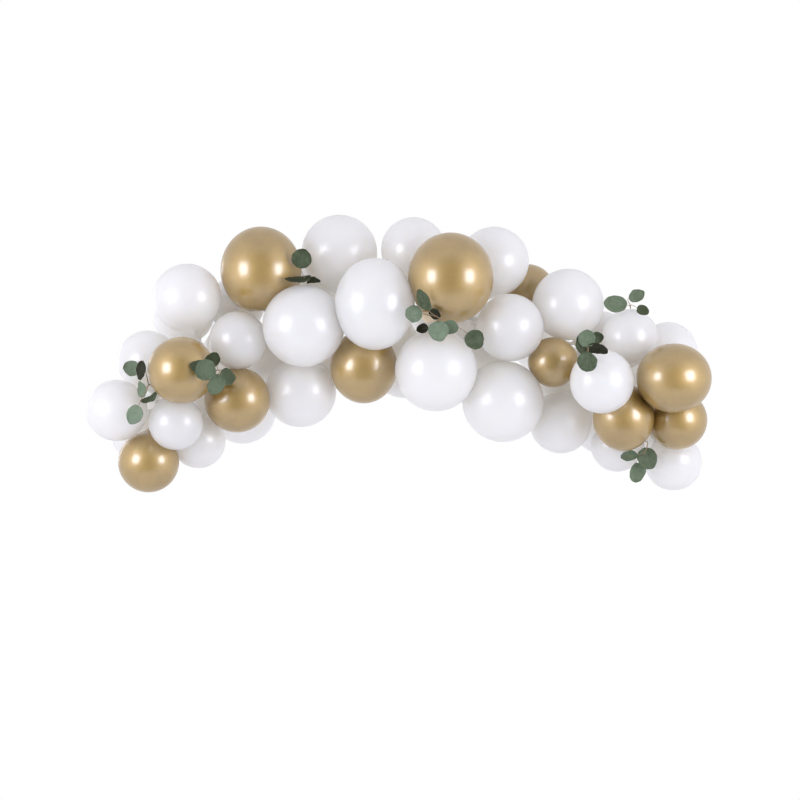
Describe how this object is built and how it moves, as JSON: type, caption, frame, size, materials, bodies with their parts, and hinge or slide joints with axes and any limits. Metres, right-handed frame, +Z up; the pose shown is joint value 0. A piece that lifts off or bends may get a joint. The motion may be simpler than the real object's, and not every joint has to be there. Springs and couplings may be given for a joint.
{
  "type": "balloon garland",
  "caption": "Arched garland of white and gold latex balloons of several sizes, tied on a clear perforated strip, with eucalyptus sprigs between them.",
  "frame": {"origin": "on the flat back face of the decorating strip, in the middle of its width at the crown of the arch", "axes": "+Z up, +X along the garland to the right seen from its front, +Y backwards: the front faces -Y"},
  "size_m": [1.9781, 0.7153, 0.8927],
  "materials": {
    "white_latex": "pearl white latex, softly glossy",
    "gold_latex": "chrome gold latex, satin metallic",
    "clear_strip": "clear plastic",
    "eucalyptus": "grey-green leaves on thin brown stems"
  },
  "bodies": {
    "root": {"decorating_strip": "clear_strip", "white_balloon_01": "white_latex", "white_balloon_02": "white_latex", "white_balloon_03": "white_latex", "white_balloon_04": "white_latex", "white_balloon_05": "white_latex", "white_balloon_06": "white_latex", "white_balloon_07": "white_latex", "white_balloon_08": "white_latex", "white_balloon_09": "white_latex", "white_balloon_10": "white_latex", "white_balloon_11": "white_latex", "white_balloon_12": "white_latex", "white_balloon_13": "white_latex", "white_balloon_14": "white_latex", "white_balloon_15": "white_latex", "white_balloon_16": "white_latex", "white_balloon_17": "white_latex", "white_balloon_18": "white_latex", "white_balloon_19": "white_latex", "white_balloon_20": "white_latex", "white_balloon_21": "white_latex", "white_balloon_22": "white_latex", "white_balloon_23": "white_latex", "white_balloon_24": "white_latex", "white_balloon_25": "white_latex", "white_balloon_26": "white_latex", "white_balloon_27": "white_latex", "white_balloon_28": "white_latex", "white_balloon_29": "white_latex", "white_balloon_30": "white_latex", "white_balloon_31": "white_latex", "white_balloon_32": "white_latex", "white_balloon_33": "white_latex", "white_balloon_34": "white_latex", "white_balloon_35": "white_latex", "white_balloon_36": "white_latex", "white_balloon_37": "white_latex", "white_balloon_38": "white_latex", "white_balloon_39": "white_latex", "white_balloon_40": "white_latex", "white_balloon_41": "white_latex", "gold_balloon_01": "gold_latex", "gold_balloon_02": "gold_latex", "gold_balloon_03": "gold_latex", "gold_balloon_04": "gold_latex", "gold_balloon_05": "gold_latex", "gold_balloon_06": "gold_latex", "gold_balloon_07": "gold_latex", "gold_balloon_08": "gold_latex", "gold_balloon_09": "gold_latex", "gold_balloon_10": "gold_latex", "gold_balloon_11": "gold_latex", "eucalyptus_sprig_1": "eucalyptus", "eucalyptus_sprig_2": "eucalyptus", "eucalyptus_sprig_3": "eucalyptus", "eucalyptus_sprig_4": "eucalyptus", "eucalyptus_sprig_5": "eucalyptus", "eucalyptus_sprig_6": "eucalyptus", "eucalyptus_sprig_7": "eucalyptus"}
  },
  "joints": []
}
